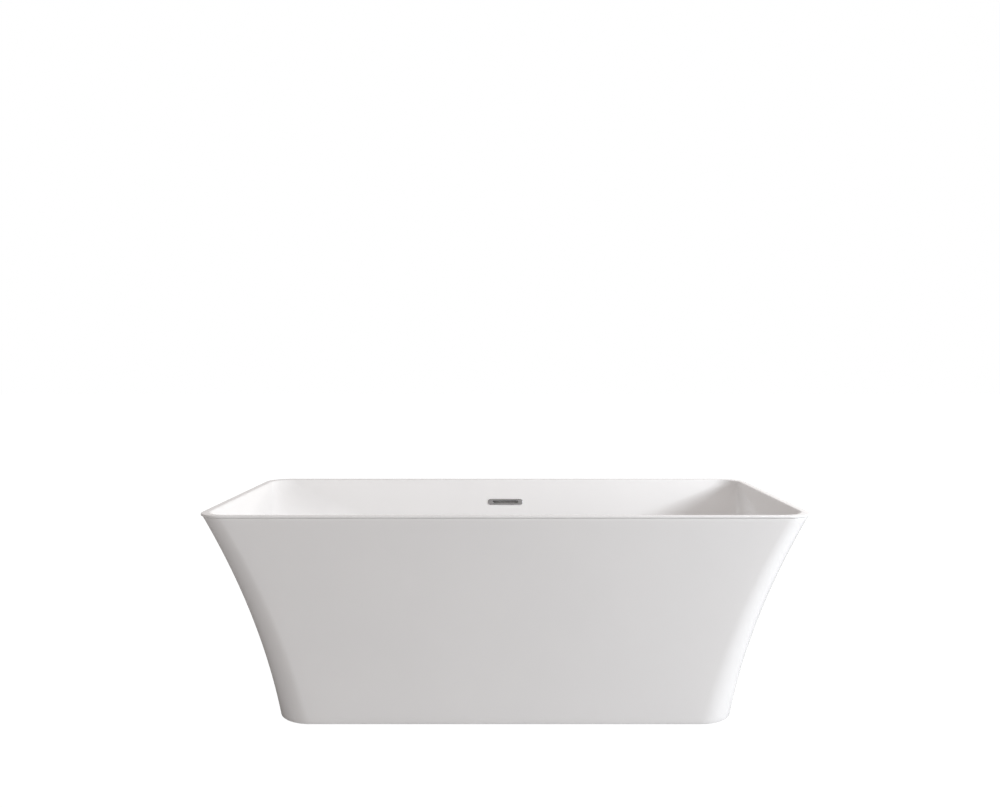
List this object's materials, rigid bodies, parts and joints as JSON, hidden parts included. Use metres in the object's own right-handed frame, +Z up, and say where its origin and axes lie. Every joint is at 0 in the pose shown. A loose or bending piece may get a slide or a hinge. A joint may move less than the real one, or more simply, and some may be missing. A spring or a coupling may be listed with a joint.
{
  "type": "freestanding bathtub",
  "caption": "Rectangular freestanding bath with flared ends, thin flat rim, slot overflow, click waste and levelling feet on a steel base frame.",
  "frame": {"origin": "on the floor under the middle of the bath", "axes": "+X along the bath's length, +Y towards the long wall with the overflow, +Z up"},
  "size_m": [1.7, 0.8, 0.59],
  "materials": {
    "acrylic": "gloss",
    "board": "raw",
    "timber": "raw",
    "frame_steel": "satin powder coat",
    "zinc": "zinc plated",
    "chrome": "polished",
    "dark_chrome": "polished",
    "brass": "machined",
    "spring_steel": "bright",
    "rubber": "matt",
    "black_plastic": "matt",
    "grey_plastic": "satin",
    "hose_plastic": "satin"
  },
  "bodies": {
    "tub": {"basin_shell": "acrylic", "bracket_screws": "zinc", "cartridge": "brass", "cross_tube_left": "frame_steel", "cross_tube_middle_left": "frame_steel", "cross_tube_middle_right": "frame_steel", "cross_tube_right": "frame_steel", "flange_gasket": "rubber", "floor_board": "board", "foot_locknuts": "zinc", "frame_screws": "zinc", "hose_clip_bottom": "spring_steel", "hose_clip_top": "spring_steel", "lower_gasket": "rubber", "outer_skirt": "acrylic", "overflow_box": "grey_plastic", "overflow_gasket": "rubber", "overflow_hose": "hose_plastic", "overflow_trim": "dark_chrome", "plug_spring": "spring_steel", "side_rail_back": "frame_steel", "side_rail_front": "frame_steel", "skirt_block_1": "timber", "skirt_block_2": "timber", "skirt_block_3": "timber", "skirt_block_4": "timber", "skirt_bracket_1": "zinc", "skirt_bracket_2": "zinc", "skirt_bracket_3": "zinc", "skirt_bracket_4": "zinc", "tee_washer": "grey_plastic", "waste_flange": "chrome", "waste_locknut": "brass", "waste_tee": "grey_plastic", "weld_nuts": "zinc"},
    "plug": {"plug_cap": "chrome", "plug_seal": "rubber", "plug_stem": "brass"},
    "foot_1": {"foot_pad_1": "black_plastic"},
    "stud_1": {"foot_stud_1": "zinc"},
    "foot_2": {"foot_pad_2": "black_plastic"},
    "stud_2": {"foot_stud_2": "zinc"},
    "foot_3": {"foot_pad_3": "black_plastic"},
    "stud_3": {"foot_stud_3": "zinc"},
    "foot_4": {"foot_pad_4": "black_plastic"},
    "stud_4": {"foot_stud_4": "zinc"}
  },
  "joints": [
    {"name": "plug_press", "type": "slide", "parent": "tub", "child": "plug", "axis": [0, 0, 1], "range_m": [-0.0075, 0], "deforming": ["plug_spring"]},
    {"name": "foot_1_lift", "type": "slide", "parent": "tub", "child": "foot_1", "axis": [0, 0, 1], "range_m": [-0.012, 0.005]},
    {"name": "foot_1_turn", "type": "hinge", "parent": "foot_1", "child": "stud_1", "pos_m": [-0.43, -0.19, 0.02], "axis": [0, 0, 1], "range_deg": [-2472, 1032]},
    {"name": "foot_2_lift", "type": "slide", "parent": "tub", "child": "foot_2", "axis": [0, 0, 1], "range_m": [-0.012, 0.005]},
    {"name": "foot_2_turn", "type": "hinge", "parent": "foot_2", "child": "stud_2", "pos_m": [0.43, -0.19, 0.02], "axis": [0, 0, 1], "range_deg": [-2472, 1032]},
    {"name": "foot_3_lift", "type": "slide", "parent": "tub", "child": "foot_3", "axis": [0, 0, 1], "range_m": [-0.012, 0.005]},
    {"name": "foot_3_turn", "type": "hinge", "parent": "foot_3", "child": "stud_3", "pos_m": [0.43, 0.19, 0.02], "axis": [0, 0, 1], "range_deg": [-2472, 1032]},
    {"name": "foot_4_lift", "type": "slide", "parent": "tub", "child": "foot_4", "axis": [0, 0, 1], "range_m": [-0.012, 0.005]},
    {"name": "foot_4_turn", "type": "hinge", "parent": "foot_4", "child": "stud_4", "pos_m": [-0.43, 0.19, 0.02], "axis": [0, 0, 1], "range_deg": [-2472, 1032]}
  ],
  "couplings": [
    {"joint": "foot_1_turn", "follows": "foot_1_lift", "rad_per_m": 3590.4},
    {"joint": "foot_2_turn", "follows": "foot_2_lift", "rad_per_m": 3590.4},
    {"joint": "foot_3_turn", "follows": "foot_3_lift", "rad_per_m": 3590.4},
    {"joint": "foot_4_turn", "follows": "foot_4_lift", "rad_per_m": 3590.4}
  ]
}
